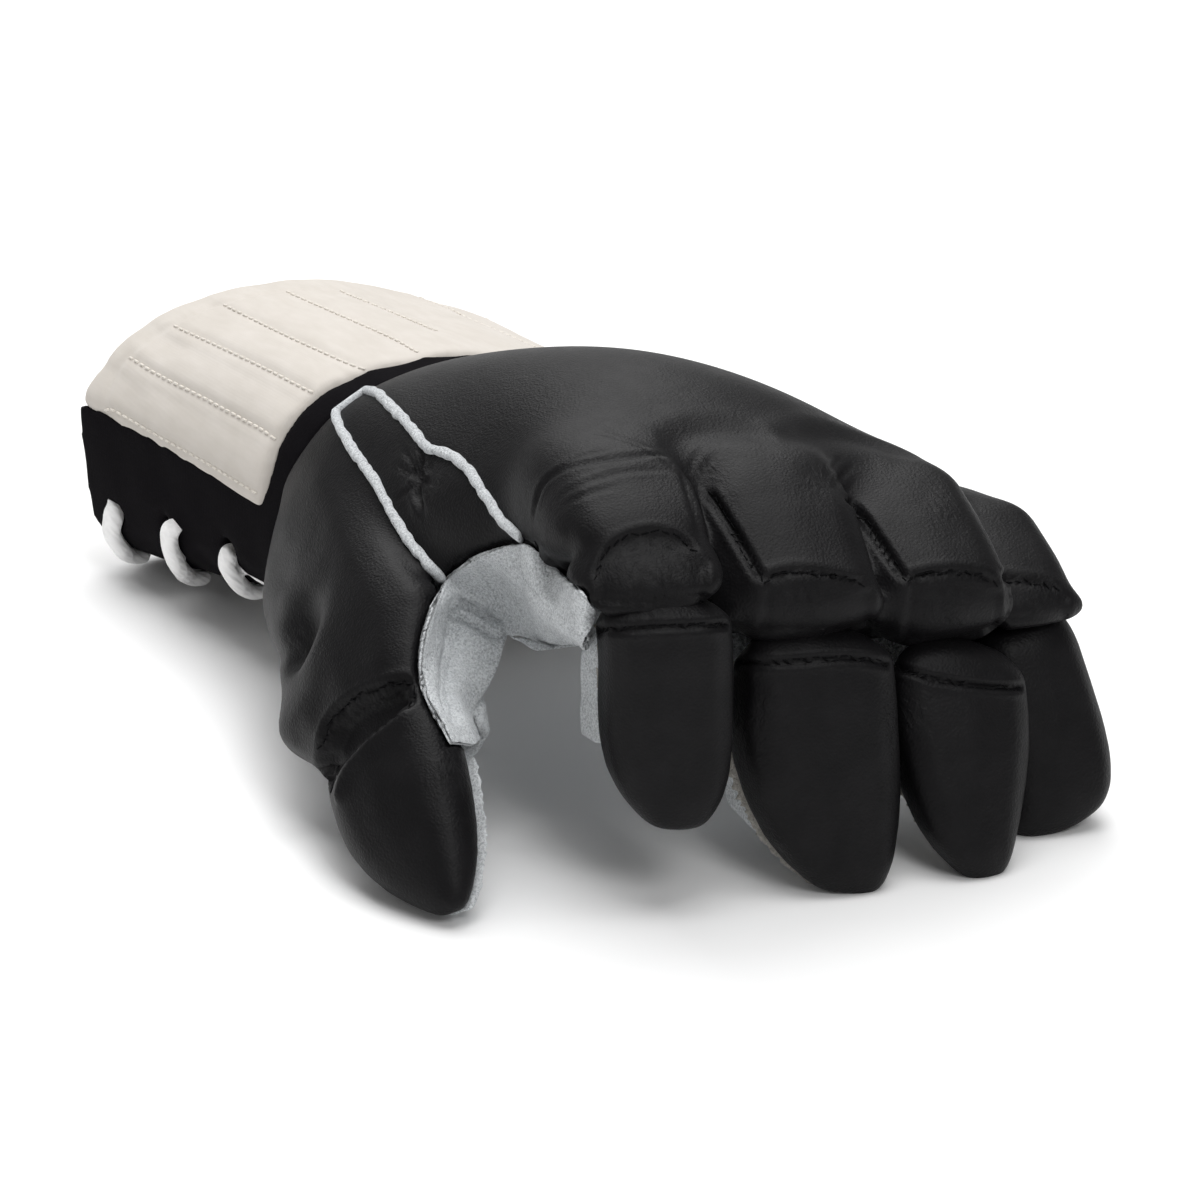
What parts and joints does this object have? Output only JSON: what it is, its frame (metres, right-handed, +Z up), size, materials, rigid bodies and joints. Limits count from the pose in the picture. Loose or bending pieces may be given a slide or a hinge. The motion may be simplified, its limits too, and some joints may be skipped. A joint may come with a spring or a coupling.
{
  "type": "padded kempo glove",
  "caption": "Left kempo glove with padded leather back, fingers and thumb, suede palm side and a quilted, laced cuff.",
  "frame": {"origin": "middle of the footprint, on the surface it lies on", "axes": "+Z up, fingers point to -Y, cuff opens to +Y, thumb at -X"},
  "size_m": [0.169, 0.268, 0.0969],
  "materials": {
    "leather": "smooth black leather, lightly creased",
    "suede": "light blue-grey suede",
    "canvas": "cream cotton canvas, quilted",
    "black_cloth": "matte black cloth",
    "cotton": "white braided cotton"
  },
  "bodies": {
    "root": {"cuff_quilt": "canvas", "cuff_cloth": "black_cloth", "lace": "cotton", "hand_back": "leather", "palm": "suede", "thumb_base_pad": "leather", "web_panel": "leather", "piping": "suede", "thumb_tip_pad": "leather", "thumb_backing": "suede", "web": "suede", "thumb_sleeve": "suede", "index_root_pad": "leather", "index_knuckle_pad": "leather", "index_tip_pad": "leather", "index_backing": "suede", "index_sleeve": "suede", "middle_root_pad": "leather", "middle_knuckle_pad": "leather", "middle_tip_pad": "leather", "middle_backing": "suede", "middle_sleeve": "suede", "ring_root_pad": "leather", "ring_knuckle_pad": "leather", "ring_tip_pad": "leather", "ring_backing": "suede", "ring_sleeve": "suede", "little_root_pad": "leather", "little_knuckle_pad": "leather", "little_tip_pad": "leather", "little_backing": "suede", "little_sleeve": "suede"}
  },
  "joints": []
}
